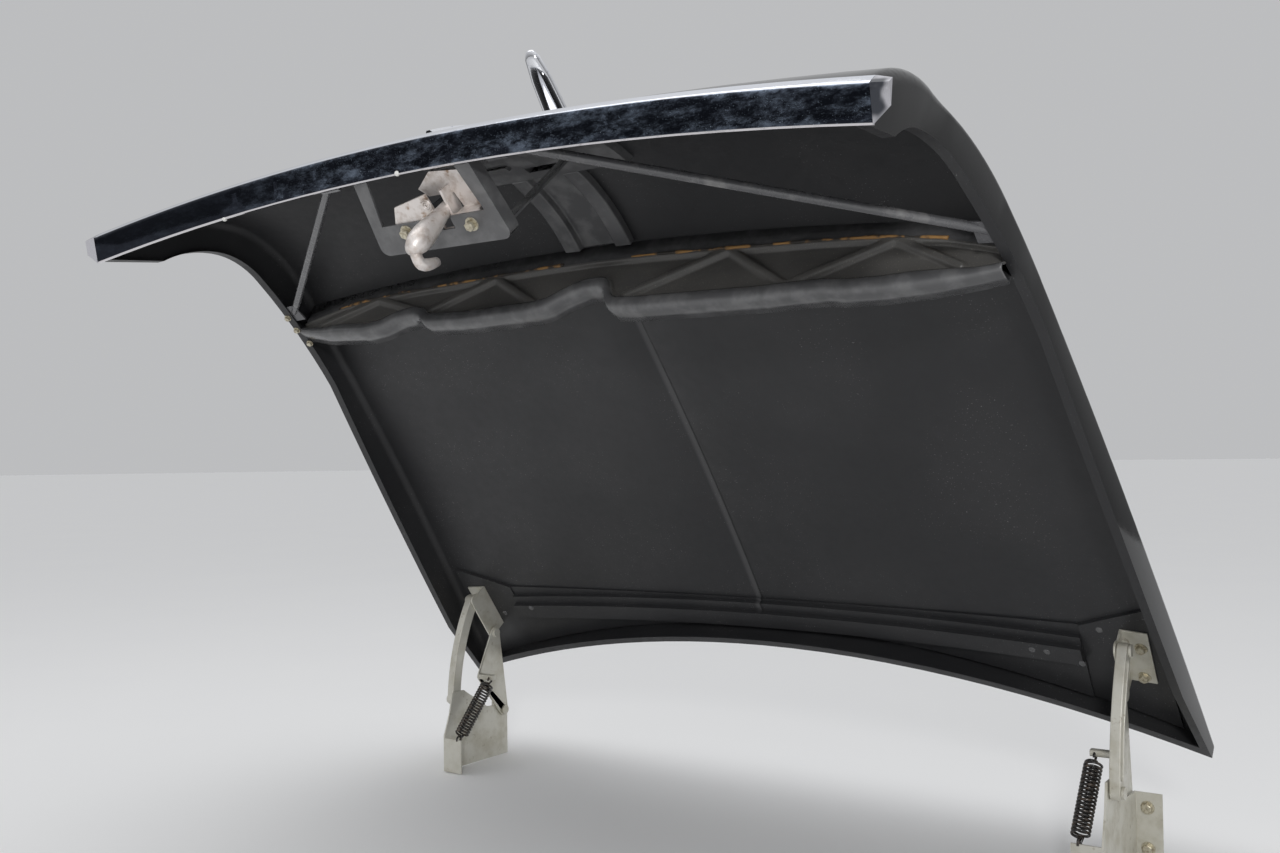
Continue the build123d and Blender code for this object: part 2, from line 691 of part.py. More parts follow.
hinge_out = hinge_plane + web
link_in = hinge_out + 1.0
link_out = link_in + front_link_depth
rear_out = hinge_plane - 1.0
rear_in = rear_out - rear_link_wall
plate_face = skin + seat + corner_plate_depth + seat
under_plate = crown(plate_face, through=True)
under_flange = crown(plate_face + web, through=True)
for name, side in sides.items():
    with BuildPart() as base:
        plane, depth = span(side, hinge_plane, hinge_out)
        with BuildSketch(plane):
            with BuildLine():
                Polyline((base_front, base_bottom), (0, base_bottom), (0, 52), (-60, 56), (-128, base_top),
                         (-160, base_top), (-168, 60), (base_front, 20), close=True)
            make_face()
        extrude(amount=depth)
        inboard, outboard = sorted((side * tab_inner, side * hinge_out))
        add(block((inboard, base_front, base_bottom), (outboard, base_front + flange_wall, tab_top)))
        flange_x = side * (hinge_plane + flange_width / 2)
        with Locations((flange_x, -flange_wall / 2, (52 + base_bottom) / 2)):
            Box(flange_width, flange_wall, 52 - base_bottom)
        with BuildSketch(Plane.XZ):
            with Locations((side * bolt_spacing_x / 2, bolt_spacing_z / 2),
                           (side * bolt_spacing_x / 2, -bolt_spacing_z / 2)):
                Circle(bolt_hole)
        extrude(amount=flange_wall, mode=Mode.SUBTRACT)
        add(pin(side, hinge_out, link_out + seat, base_front_pivot, pin_radius))
        add(pin(side, link_out + seat, link_out + seat + head, base_front_pivot, head_radius))
        add(pin(side, rear_in - seat, hinge_plane, base_rear_pivot, pin_radius))
        add(pin(side, rear_in - seat - head, rear_in - seat, base_rear_pivot, head_radius))
    write(base, f"hinge_base_{name}")

    with BuildPart() as link:
        plane, depth = span(side, link_in, link_out)
        arc = ThreePointArc(bracket_front_pivot, midpoint(bracket_front_pivot, base_front_pivot,
                            front_link_bulge), base_front_pivot)
        with BuildSketch(plane):
            SlotArc(arc, front_link_width)
        extrude(amount=depth)
        pocket, depth = span(side, link_in + front_link_wall, link_out)
        with BuildSketch(pocket):
            SlotArc(arc.trim(0.12, 0.88), front_link_width - 2 * front_link_wall)
        extrude(amount=depth, mode=Mode.SUBTRACT)
        for at in (bracket_front_pivot, base_front_pivot):
            plane, depth = span(side, link_in, link_out)
            with BuildSketch(plane):
                with Locations(at):
                    Circle(pin_radius + running)
            extrude(amount=depth, mode=Mode.SUBTRACT)
    write(link, f"front_link_{name}")

    with BuildPart() as link:
        add(bar(side, rear_in, rear_out, ((bracket_rear_pivot, rear_link_width / 2), (lug, 8),
                                          (base_rear_pivot, rear_link_width / 2))))
        plane, depth = span(side, rear_in - lug_reach, rear_in)
        with BuildSketch(plane):
            with Locations(lug):
                RectangleRounded(*lug_size, 3)
        extrude(amount=depth)
        plane, depth = span(side, rear_in, rear_out)
        with BuildSketch(plane):
            with Locations(base_rear_pivot):
                Circle(pin_radius + running)
        extrude(amount=depth, mode=Mode.SUBTRACT)
        add(pin(side, rear_in - head, rear_in, bracket_rear_pivot, head_radius))
    write(link, f"rear_link_{name}")

    with BuildPart() as bracket:
        front_eye, rear_eye = shut(bracket_front_pivot), shut(bracket_rear_pivot)
        add(bar(side, hinge_plane, hinge_out, ((front_eye, bracket_eye), (rear_eye, bracket_eye))))
        plate_front = front_eye[0] - bracket_eye / 2
        plate_rear = rear_eye[0] + bracket_eye / 2
        inboard, outboard = sorted((side * hinge_plane, side * hinge_out))
        add(block((inboard, plate_front, front_eye[1]), (outboard, plate_rear, bracket_reach)))
        inboard, outboard = sorted((side * hinge_plane, side * (hinge_plane + bracket_flange)))
        add(block((inboard, plate_front, bracket_reach - 60), (outboard, plate_rear, bracket_reach)))
        add(under_plate, mode=Mode.INTERSECT)
        inboard, outboard = sorted((side * hinge_out, side * (hinge_out + 100)))
        add(under_flange & block((inboard, -900, -500), (outboard, 100, 300)), mode=Mode.SUBTRACT)
        add(pin(side, hinge_out, link_out + seat, front_eye, pin_radius))
        add(pin(side, link_out + seat, link_out + seat + head, front_eye, head_radius))
    write(bracket, f"bonnet_bracket_{name}", hood)

    hook = Vector(side * spring_x, base_front + flange_wall / 2, tab_top - 4)
    eye = Vector(side * spring_x, *lug)
    along = (eye - hook).normalized()
    low = hook + along * spring_low_gap
    top = eye - along * spring_top_gap
    with BuildPart() as spring:
        with BuildSketch(Plane(origin=low, z_dir=top - low)):
            Circle(spring_radius)
        extrude(amount=(top - low).length)
    write(spring, f"spring_{name}")
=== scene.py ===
# Raised bonnet on its sprung hinges: finishes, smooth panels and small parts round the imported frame
import json
from math import cos, pi, radians, sin, sqrt

import bmesh
import bpy
from mathutils import Matrix, Vector
from mathutils.bvhtree import BVHTree


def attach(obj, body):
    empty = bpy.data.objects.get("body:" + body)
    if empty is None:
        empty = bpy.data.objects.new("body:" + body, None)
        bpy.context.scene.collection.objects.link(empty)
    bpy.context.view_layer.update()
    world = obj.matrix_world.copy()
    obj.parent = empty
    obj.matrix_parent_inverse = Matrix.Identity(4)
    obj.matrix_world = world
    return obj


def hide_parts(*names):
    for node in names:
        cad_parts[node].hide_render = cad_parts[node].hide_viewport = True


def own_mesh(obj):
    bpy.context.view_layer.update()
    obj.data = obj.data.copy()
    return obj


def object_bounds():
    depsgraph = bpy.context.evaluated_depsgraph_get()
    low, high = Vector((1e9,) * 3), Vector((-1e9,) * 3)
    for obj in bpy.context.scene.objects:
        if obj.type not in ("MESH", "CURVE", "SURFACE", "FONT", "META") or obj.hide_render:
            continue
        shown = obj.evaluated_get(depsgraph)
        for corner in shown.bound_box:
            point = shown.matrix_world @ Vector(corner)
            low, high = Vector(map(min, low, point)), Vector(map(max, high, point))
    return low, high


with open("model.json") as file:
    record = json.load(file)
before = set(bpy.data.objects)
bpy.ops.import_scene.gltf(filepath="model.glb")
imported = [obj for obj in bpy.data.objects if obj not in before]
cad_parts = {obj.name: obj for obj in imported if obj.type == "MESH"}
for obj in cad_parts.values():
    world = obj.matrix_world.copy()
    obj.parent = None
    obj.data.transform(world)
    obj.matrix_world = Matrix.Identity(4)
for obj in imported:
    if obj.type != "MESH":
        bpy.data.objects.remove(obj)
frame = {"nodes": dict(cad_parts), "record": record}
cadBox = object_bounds()
record = frame["record"]
slotOf = {part["node"]: part["material_slot"] for part in record["subparts"]}
bodyOf = {node: body for body, members in record["behaviour"]["bodies"].items() for node in members}
print("frame loaded,", len(frame["nodes"]), "nodes")

# Pose of the open bonnet. Its own axes start midway between the rear corners: x across, y back, z up when shut.
bonnetPose = {"opening": 51.8, "rearLine": (0, 0.032, 0.109)}
hood = Matrix.Translation(bonnetPose["rearLine"]) @ Matrix.Rotation(radians(-bonnetPose["opening"]), 4, "X")

# Camera at the photo's viewing angle, its lens as a focal length in pixels of a 1280 pixel wide image
cameraView = {"place": (1.07949, -1.92185, 0.56254), "yaw": -35.11, "pitch": 1.28, "roll": -0.81,
              "focalPixels": 1228.15, "imageWidth": 1280, "sensor": 36.0, "farClip": 60}


def makeCamera(view):
    yaw, pitch, roll = (radians(view[name]) for name in ("yaw", "pitch", "roll"))
    forward = Vector((sin(yaw) * cos(pitch), cos(yaw) * cos(pitch), sin(pitch)))
    level = forward.cross(Vector((0, 0, 1))).normalized()
    across = level * cos(roll) + level.cross(forward) * sin(roll)
    up = across.cross(forward)
    data = bpy.data.cameras.new("camera")
    data.sensor_width = view["sensor"]
    data.lens = view["focalPixels"] * view["sensor"] / view["imageWidth"]
    data.clip_end = view["farClip"]
    camera = bpy.data.objects.new("camera", data)
    turn = Matrix((across, up, -forward)).transposed().to_4x4()
    camera.matrix_world = Matrix.Translation(view["place"]) @ turn
    bpy.context.scene.collection.objects.link(camera)
    bpy.context.scene.camera = camera


makeCamera(cameraView)


# Node helpers for the materials
def startMaterial(name):
    material = bpy.data.materials.new(name)
    material.use_nodes = True
    nodes = material.node_tree.nodes
    nodes.clear()
    shader = nodes.new("ShaderNodeBsdfPrincipled")
    output = nodes.new("ShaderNodeOutputMaterial")
    material.node_tree.links.new(shader.outputs["BSDF"], output.inputs["Surface"])
    coords = nodes.new("ShaderNodeTexCoord")
    return material, shader, coords.outputs["Object"]


def joinTo(material, source, target):
    material.node_tree.links.new(source, target)


def splitOf(material, vector):  # the three parts of a vector
    split = material.node_tree.nodes.new("ShaderNodeSeparateXYZ")
    joinTo(material, vector, split.inputs["Vector"])
    return split.outputs


def noiseOf(material, where, plan):
    nodes = material.node_tree.nodes
    noise = nodes.new("ShaderNodeTexNoise")
    noise.inputs["Scale"].default_value = plan["scale"]
    noise.inputs["Detail"].default_value = plan.get("detail", 3.0)
    noise.inputs["Roughness"].default_value = plan.get("fineness", 0.55)
    if "stretch" in plan:
        mapping = nodes.new("ShaderNodeMapping")
        mapping.inputs["Scale"].default_value = plan["stretch"]
        joinTo(material, where, mapping.inputs["Vector"])
        where = mapping.outputs["Vector"]
    joinTo(material, where, noise.inputs["Vector"])
    return noise.outputs["Fac"]


def rangeOf(material, value, between, out=(0.0, 1.0)):
    node = material.node_tree.nodes.new("ShaderNodeMapRange")
    node.interpolation_type = "SMOOTHSTEP"
    for name, number in zip(("From Min", "From Max", "To Min", "To Max"), (*between, *out)):
        node.inputs[name].default_value = number
    joinTo(material, value, node.inputs["Value"])
    return node.outputs["Result"]


def patternOf(material, where, plan):  # noise cut to where it shows
    return rangeOf(material, noiseOf(material, where, plan), plan["between"])


def mixOf(material, factor, first, second):
    node = material.node_tree.nodes.new("ShaderNodeMix")
    node.data_type = "RGBA"
    joinTo(material, factor, node.inputs["Factor"])
    for socket, value in ((node.inputs["A"], first), (node.inputs["B"], second)):
        if isinstance(value, tuple):
            socket.default_value = (*value, 1)
        else:
            joinTo(material, value, socket)
    return node.outputs["Result"]


def productOf(material, first, second):
    node = material.node_tree.nodes.new("ShaderNodeMath")
    node.operation = "MULTIPLY"
    joinTo(material, first, node.inputs[0])
    joinTo(material, second, node.inputs[1])
    return node.outputs["Value"]


def bandOf(material, value, rise, fall):  # one between two places, falling off at both
    return productOf(material, rangeOf(material, value, rise), rangeOf(material, value, fall, (1.0, 0.0)))


def finishShader(material, shader, where, look, colour, followed=None):  # what every finish has beside its colour
    joinTo(material, colour, shader.inputs["Base Color"])
    for socket, value in look.get("sockets", {}).items():
        shader.inputs[socket].default_value = value
    shine = look["gloss"]
    source = noiseOf(material, where, shine) if "scale" in shine else followed
    joinTo(material, rangeOf(material, source, shine["between"], shine["roughness"]), shader.inputs["Roughness"])
    if "bump" in look:
        grain = look["bump"]
        node = material.node_tree.nodes.new("ShaderNodeBump")
        node.inputs["Strength"].default_value = grain["strength"]
        node.inputs["Distance"].default_value = grain["depth"]
        joinTo(material, noiseOf(material, where, grain), node.inputs["Height"])
        joinTo(material, node.outputs["Normal"], shader.inputs["Normal"])
    return material


# Finishes made the same way: two colours clouded together, layers lying over them, gloss from a finer noise.
# Where gloss has no scale, it follows the clouds.
plainLooks = {
    "glossBlack": {  # polished enamel outside
        "base": {"scale": 5, "between": (0.3, 0.7), "colours": ((0.0028, 0.0028, 0.0032), (0.0045, 0.0044, 0.0046))},
        "sockets": {"IOR": 1.24},
        "gloss": {"scale": 40, "between": (0.3, 0.7), "roughness": (0.05, 0.09)},
        "bump": {"scale": 350, "detail": 1.5, "depth": 0.0002, "strength": 0.04}},
    "brightChrome": {  # plated trim with faint dirt and pin marks
        "base": {"scale": 260, "detail": 2.0, "between": (0.60, 0.72),
                 "colours": ((0.82, 0.83, 0.86), (0.55, 0.57, 0.62))},
        "sockets": {"Metallic": 1.0},
        "gloss": {"scale": 90, "between": (0.35, 0.75), "roughness": (0.04, 0.16)},
        "bump": {"scale": 500, "detail": 2.0, "depth": 0.0002, "strength": 0.06}},
    "shadedChrome": {  # plating of the end caps, with dark reflections painted into half of its colour
        "base": {"scale": 26, "detail": 2.0, "between": (0.42, 0.56),
                 "colours": ((0.09, 0.095, 0.11), (0.74, 0.73, 0.77))},
        "sockets": {"Metallic": 1.0},
        "gloss": {"between": (0, 1), "roughness": (0.06, 0.12)},
        "bump": {"scale": 60, "detail": 2.0, "depth": 0.0006, "strength": 0.2}},
    "dustyBrace": {  # satin paint with brown dust lying on it, brushed in long streaks
        "base": {"scale": 9, "detail": 4.0, "between": (0.25, 0.8),
                 "colours": ((0.085, 0.083, 0.080), (0.13, 0.126, 0.119))},
        "over": [{"scale": 70, "detail": 4.0, "fineness": 0.6, "stretch": (0.25, 1, 1), "between": (0.3, 0.75),
                  "colour": (0.11, 0.106, 0.099)},
                 {"scale": 620, "detail": 2.0, "between": (0.62, 0.74), "colour": (0.22, 0.205, 0.18)}],
        "gloss": {"between": (0, 1), "roughness": (0.34, 0.5)},
        "bump": {"scale": 700, "detail": 2.0, "depth": 0.0003, "strength": 0.3}},
    "edgePaint": {  # smooth satin paint of the rolled edges, channel, nose panel and tray; its pale colour is partly painted light, a painted highlight on the brace's roll and on its shaded flange
        "base": {"scale": 30, "detail": 4.0, "between": (0.4, 0.7),
                 "colours": ((0.085, 0.085, 0.088), (0.13, 0.13, 0.132))},
        "sockets": {"Specular IOR Level": 0.7},
        "gloss": {"scale": 30, "between": (0.3, 0.7), "roughness": (0.20, 0.27)},
        "bump": {"scale": 350, "detail": 1.5, "depth": 0.0002, "strength": 0.05}},
    "rodPaint": {  # satin grey rods, with brighter patches painted in as highlights
        "base": {"scale": 24, "detail": 4.0, "between": (0.52, 0.74),
                 "colours": ((0.085, 0.085, 0.090), (0.20, 0.197, 0.195))},
        "sockets": {"Specular IOR Level": 0.8},
        "gloss": {"scale": 80, "between": (0.3, 0.7), "roughness": (0.20, 0.30)},
        "bump": {"scale": 800, "detail": 2.0, "depth": 0.0002, "strength": 0.15}},
    "paleZinc": {  # old cream coloured plating of the hinges, handled and a little stained
        "base": {"scale": 28, "detail": 5.0, "fineness": 0.6, "between": (0.40, 0.74),
                 "colours": ((0.66, 0.645, 0.575), (0.52, 0.495, 0.41))},
        "over": [{"scale": 90, "between": (0.62, 0.80), "colour": (0.38, 0.34, 0.26)}],
        "sockets": {"Metallic": 0.35},
        "gloss": {"scale": 120, "between": (0.3, 0.7), "roughness": (0.34, 0.52)},
        "bump": {"scale": 600, "detail": 3.0, "depth": 0.0003, "strength": 0.2}},
    "bareLatch": {  # pale unpainted plating of the latch, warm where it has worn
        "base": {"scale": 70, "detail": 5.0, "fineness": 0.65, "between": (0.42, 0.68),
                 "colours": ((0.80, 0.75, 0.72), (0.60, 0.53, 0.48))},
        "over": [{"scale": 60, "detail": 4.0, "between": (0.60, 0.76), "colour": (0.36, 0.24, 0.16)}],
        "sockets": {"Metallic": 0.55},
        "gloss": {"scale": 150, "between": (0.3, 0.7), "roughness": (0.32, 0.5)},
        "bump": {"scale": 500, "detail": 3.0, "depth": 0.0004, "strength": 0.25}},
    "springWire": {  # dark oiled wire with a brown bloom, its paler patches also painted highlights standing in for glints
        "base": {"scale": 120, "detail": 4.0, "between": (0.45, 0.7),
                 "colours": ((0.014, 0.012, 0.011), (0.085, 0.060, 0.042))},
        "sockets": {"Coat Weight": 0.4, "Coat Roughness": 0.12},
        "gloss": {"scale": 200, "between": (0.3, 0.7), "roughness": (0.2, 0.36)},
        "bump": {"scale": 900, "detail": 2.0, "depth": 0.0002, "strength": 0.2}},
    "whiteRubber": {  # small stops, greyed by handling
        "base": {"scale": 500, "between": (0.5, 0.75), "colours": ((0.78, 0.78, 0.75), (0.5, 0.49, 0.45))},
        "gloss": {"scale": 300, "between": (0.3, 0.7), "roughness": (0.45, 0.6)}},
    "yellowZinc": {  # bolt heads
        "base": {"scale": 260, "detail": 4.0, "between": (0.42, 0.68),
                 "colours": ((0.62, 0.58, 0.46), (0.36, 0.31, 0.22))},
        "sockets": {"Metallic": 0.7},
        "gloss": {"scale": 300, "between": (0.3, 0.7), "roughness": (0.28, 0.45)}},
}


def plainFinish(name):
    look = plainLooks[name]
    material, shader, where = startMaterial(name)
    cloud = patternOf(material, where, look["base"])
    colour = mixOf(material, cloud, *look["base"]["colours"])
    for layer in look.get("over", ()):
        colour = mixOf(material, patternOf(material, where, layer), colour, layer["colour"])
    return finishShader(material, shader, where, look, colour, cloud)


# Satin paint inside the bonnet: a little dust on it, and a painted highlight on one side of the crease down its
# middle, painted shade on the other. The crease's places are across the bonnet, its ends are heights above the
# hinges.
satinLook = {"cloud": {"scale": 3.5, "between": (0.35, 0.7)},
             "colours": ((0.020, 0.0202, 0.022), (0.029, 0.029, 0.0306)),
             "creaseLow": (0.275, 0.290), "creaseHigh": (0.76, 0.80),
             # painted highlight on one side of the crease and painted shade on the other
             "rubbed": {"rise": (-0.013, -0.004), "fall": (-0.001, 0.0), "colour": (0.062, 0.062, 0.064)},
             "shaded": {"rise": (-0.0005, 0.0005), "fall": (0.002, 0.005), "colour": (0.007, 0.007, 0.008)},
             "dust": {"scale": 420, "detail": 1.0, "between": (0.70, 0.76)}, "dustColour": (0.16, 0.16, 0.16),
             "patches": {"scale": 7, "between": (0.42, 0.62)},
             "gloss": {"scale": 60, "between": (0.3, 0.7), "roughness": (0.40, 0.50)},
             "bump": {"scale": 900, "detail": 2.0, "depth": 0.0003, "strength": 0.25}}


def satinUnderside(look):
    material, shader, where = startMaterial("satinUnderside")
    place = splitOf(material, where)
    colour = mixOf(material, patternOf(material, where, look["cloud"]), *look["colours"])
    length = bandOf(material, place["Z"], look["creaseLow"], look["creaseHigh"])
    # paint the crease's highlight band and its shade band
    for side in (look["rubbed"], look["shaded"]):
        band = bandOf(material, place["X"], side["rise"], side["fall"])
        colour = mixOf(material, productOf(material, band, length), colour, side["colour"])
    dust = productOf(material, patternOf(material, where, look["dust"]), patternOf(material, where, look["patches"]))
    return finishShader(material, shader, where, look, mixOf(material, dust, colour, look["dustColour"]))


# Plated face of the lip. Its map has the place along the lip and the distance back from its corner: painted dark
# reflections, milky and pitted away from the left end, between painted highlights along its two edges.
lipLook = {"map": "acrossLip",
           "cloud": {"scale": 22, "detail": 8.0, "fineness": 0.8, "stretch": (1, 2.6, 2.6), "between": (0.44, 0.68)},
           "fadeIn": (-0.36, -0.12), "fadeShare": (0.10, 1.0),
           "colours": ((0.018, 0.021, 0.030), (0.22, 0.265, 0.34)),
           "pits": {"scale": 520, "fineness": 0.75, "between": (0.62, 0.72)}, "pitColour": (0.50, 0.60, 0.72),
           "lowEdge": (0.0316, 0.0322), "lowColour": (0.93, 0.90, 0.92),
           "highEdge": (-0.0048, -0.0030), "highColour": (0.80, 0.82, 0.88),
           "sockets": {"Metallic": 1.0}, "gloss": {"between": (0, 1), "roughness": (0.06, 0.2)},
           "bump": {"scale": 420, "detail": 2.0, "depth": 0.0002, "strength": 0.08}}


def chromeFace(look):
    material, shader, where = startMaterial("chromeFace")
    layer = material.node_tree.nodes.new("ShaderNodeUVMap")
    layer.uv_map = look["map"]
    place = splitOf(material, layer.outputs["UV"])
    side = rangeOf(material, place["X"], look["fadeIn"], look["fadeShare"])
    milky = productOf(material, patternOf(material, where, look["cloud"]), side)
    # the first colour is a painted reflection of dark surroundings
    colour = mixOf(material, milky, *look["colours"])
    pits = productOf(material, patternOf(material, where, look["pits"]), side)
    colour = mixOf(material, pits, colour, look["pitColour"])
    # painted highlights: a pale band along the lower edge and another along the upper edge
    colour = mixOf(material, rangeOf(material, place["Y"], look["lowEdge"]), colour, look["lowColour"])
    colour = mixOf(material, rangeOf(material, place["Y"], look["highEdge"], (1.0, 0.0)), colour, look["highColour"])
    return finishShader(material, shader, where, look, colour, milky)


# Brushed bead of body sealer, ochre where the paint has missed it
sealerLook = {"bare": {"scale": 26, "fineness": 0.6, "between": (0.46, 0.56)}, "painted": (0.035, 0.031, 0.027),
              "ochre": {"scale": 90}, "ochreColours": ((0.42, 0.22, 0.06), (0.30, 0.17, 0.07)),
              "gloss": {"scale": 200, "between": (0.3, 0.7), "roughness": (0.55, 0.75)},
              "bump": {"scale": 260, "detail": 4.0, "fineness": 0.7, "depth": 0.0012, "strength": 0.6}}


def oldSealer(look):
    material, shader, where = startMaterial("oldSealer")
    ochre = mixOf(material, noiseOf(material, where, look["ochre"]), *look["ochreColours"])
    colour = mixOf(material, patternOf(material, where, look["bare"]), look["painted"], ochre)
    return finishShader(material, shader, where, look, colour)


finishes = {
    "panel_paint": satinUnderside(satinLook),
    "chrome_trim": plainFinish("brightChrome"),
    "hinge_steel": plainFinish("paleZinc"),
    "spring_steel": plainFinish("springWire"),
    "brace_paint": plainFinish("dustyBrace"),
    "zinc_steel": plainFinish("bareLatch"),
    "rod_steel": plainFinish("rodPaint"),
}
gloss, plated, capChrome = plainFinish("glossBlack"), chromeFace(lipLook), plainFinish("shadedChrome")
# the edge paint's pale colour is partly painted light
edgePaintWithPaintedLight, sealer = plainFinish("edgePaint"), oldSealer(sealerLook)
rubber, boltZinc = plainFinish("whiteRubber"), plainFinish("yellowZinc")

for node, obj in frame["nodes"].items():
    obj.data.materials.clear()
    obj.data.materials.append(finishes[slotOf[node]])
print("finishes made")


# Helpers for pieces
def toShut(point):
    return hood.inverted() @ Vector(point)


def finishPiece(bm, name, body, materials, standsFor=()):
    mesh = bpy.data.meshes.new(name)
    bm.to_mesh(mesh)
    bm.free()
    for material in materials:
        mesh.materials.append(material)
    piece = bpy.data.objects.new(name, mesh)
    bpy.context.scene.collection.objects.link(piece)
    if standsFor:
        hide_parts(*standsFor)
    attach(piece, body)
    return piece


mergeWithin = {"doubles": 2e-6, "slivers": 1e-7}


def mergedCopy(node, sharpAngle=30):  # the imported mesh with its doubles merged, smooth up to an angle
    bm = bmesh.new()
    bm.from_mesh(frame["nodes"][node].data)
    bmesh.ops.remove_doubles(bm, verts=bm.verts, dist=mergeWithin["doubles"])
    bmesh.ops.dissolve_degenerate(bm, edges=bm.edges, dist=mergeWithin["slivers"])
    for face in bm.faces:
        face.smooth, face.material_index = True, 0
    for edge in bm.edges:
        edge.smooth = edge.calc_face_angle(0) < radians(sharpAngle)
    return bm


def pieceName(node):
    first, *others = node.split("_")
    return first + "".join(word.title() for word in others)


treeCache = {}


def landOn(node, start, way):  # where a ray in the bonnet's own axes meets a node, with the surface's normal
    if node not in treeCache:
        mesh = frame["nodes"][node].data
        corners = [vert.co for vert in mesh.vertices]
        treeCache[node] = BVHTree.FromPolygons(corners, [face.vertices for face in mesh.polygons])
    return treeCache[node].ray_cast(hood @ Vector(start), hood.to_3x3() @ Vector(way))[:2]


def landUpwards(node, x, y, fromBelow):
    return landOn(node, (x, y, fromBelow), (0, 0, 1))


# Skin: gloss outside, satin inside, told apart by where each face lies and looks
skinRule = {"sharpAngle": 24, "sideTurn": 0.35, "sideFrom": 0.58, "topTurn": 0.3, "topAbove": 0.004,
            "noseFrom": -0.92, "noseTurn": -0.3, "noseSide": -0.3, "noseDown": -0.5,
            "rearFrom": -0.17, "rearTurn": 0.5}


def looksOutside(rule, at, turn):
    side = turn.x if at.x > 0 else -turn.x
    nose = at.y < rule["noseFrom"] and turn.y < rule["noseTurn"]
    return ((side > rule["sideTurn"] and abs(at.x) > rule["sideFrom"])
            or (turn.z > rule["topTurn"] and at.z > rule["topAbove"])
            or (nose and side > rule["noseSide"] and turn.z > rule["noseDown"])
            or (at.y > rule["rearFrom"] and turn.y > rule["rearTurn"]))


def makeSkin(rule):
    bm = mergedCopy("bonnet_skin", rule["sharpAngle"])
    back = hood.inverted().to_3x3()
    for face in bm.faces:
        outside = looksOutside(rule, toShut(face.calc_center_median()), back @ face.normal)
        face.material_index = 1 if outside else 0
    finishPiece(bm, "bonnetSkin", "bonnet", [finishes["panel_paint"], gloss], ["bonnet_skin"])


makeSkin(skinRule)

# Lip moulding and its caps, mapped from the line of the lip's corner, which falls back to the sides
lipPlan = {"sharpAngle": 35, "rearHalf": 0.72, "y": -1.214, "z": -0.200, "sideBack": 0.034, "sideDrop": 0.062,
           "slope": -28}


def makeLip(plan):
    way = Vector((0, cos(radians(plan["slope"])), sin(radians(plan["slope"]))))
    for node in ("lip_moulding", "lip_cap_left", "lip_cap_right"):
        bm = mergedCopy(node, plan["sharpAngle"])
        layer = bm.loops.layers.uv.new(lipLook["map"])
        for face in bm.faces:
            for loop in face.loops:
                at = toShut(loop.vert.co)
                share = (at.x / plan["rearHalf"]) ** 2
                corner = Vector((at.x, plan["y"] + plan["sideBack"] * share, plan["z"] - plan["sideDrop"] * share))
                loop[layer].uv = (at.x, (at - corner).dot(way))
        material = plated if node == "lip_moulding" else capChrome
        finishPiece(bm, pieceName(node), "bonnet", [material], [node])


makeLip(lipPlan)

# Front brace: a pressed pan on a leaning plane, its lower edge rolled forward, with a zigzag of ribs on its face.
# Each pair of rim, top and ribs is a place across and a height on that plane, each of roll is out and up.
braceFace = {"footY": -0.864, "footZ": -0.040, "lean": 23.5, "halfWidth": 0.614, "columns": 480,
             "rim": [(-0.620, 0.018), (-0.548, 0.004), (-0.449, -0.002), (-0.414, 0.003), (-0.377, 0.017),
                     (-0.344, 0.021), (-0.324, 0.016), (-0.309, 0.004), (-0.241, 0.001), (-0.162, 0.003),
                     (-0.093, 0.005), (-0.066, 0.010), (-0.035, 0.026), (-0.003, 0.036), (0.025, 0.036),
                     (0.038, 0.030), (0.046, 0.006), (0.058, -0.002), (0.100, -0.005), (0.298, -0.009),
                     (0.350, -0.008), (0.387, -0.008), (0.414, -0.012), (0.465, -0.013), (0.525, -0.010),
                     (0.582, -0.003), (0.620, 0.004)],
             "top": [(0, 0.094), (0.100, 0.092), (0.230, 0.086), (0.365, 0.080), (0.460, 0.073), (0.535, 0.061),
                     (0.590, 0.045), (0.620, 0.036)],
             "roll": [(0.005, 0.0245), (0.0095, 0.0195), (0.0115, 0.013), (0.0105, 0.0065), (0.0065, 0.0018),
                      (0.0, 0.0), (-0.010, 0.0005), (-0.027, 0.002)],
             "rollHeight": 0.024, "slimFrom": 0.50, "slimShare": 0.5, "leastFace": 0.004, "faceRows": 34,
             "ribWidth": 0.0085, "ribHeight": 0.0075, "ribSoft": 0.6, "border": 0.006,
             "ribs": [[(0.068, 0.030), (0.225, 0.088), (0.326, 0.018), (0.470, 0.072), (0.560, 0.020)],
                      [(-0.100, 0.032), (-0.196, 0.088), (-0.326, 0.036), (-0.450, 0.074), (-0.570, 0.034)]],
             "flangeOut": -0.001, "soffitOut": -0.028, "intoPanel": 0.0008, "sheet": 0.0012,
             "lookFrom": 0.04, "panelAbove": 0.10}
braceUp = Vector((0, -sin(radians(braceFace["lean"])), cos(radians(braceFace["lean"]))))
braceOut = Vector((0, -cos(radians(braceFace["lean"])), -sin(radians(braceFace["lean"]))))


def lineAt(line, x):
    for (x0, z0), (x1, z1) in zip(line, line[1:]):
        if x0 <= x <= x1:
            return z0 + (z1 - z0) * (x - x0) / (x1 - x0)
    return line[0][1] if x < line[0][0] else line[-1][1]


def softLineAt(line, x, reach=0.007, steps=3):  # the same, rounded at its bends
    weights = {step: steps + 1 - abs(step) for step in range(-steps, steps + 1)}
    heights = [lineAt(line, x + reach * step / steps) * weight for step, weight in weights.items()]
    return sum(heights) / sum(weights.values())


def distanceToLine(line, x, z):
    nearest = 1.0
    for (x0, z0), (x1, z1) in zip(line, line[1:]):
        length = (x1 - x0) ** 2 + (z1 - z0) ** 2
        t = min(1, max(0, ((x - x0) * (x1 - x0) + (z - z0) * (z1 - z0)) / length))
        nearest = min(nearest, sqrt((x - x0 - t * (x1 - x0)) ** 2 + (z - z0 - t * (z1 - z0)) ** 2))
    return nearest


def softStep(value):
    value = min(1, max(0, value))
    return value * value * (3 - 2 * value)


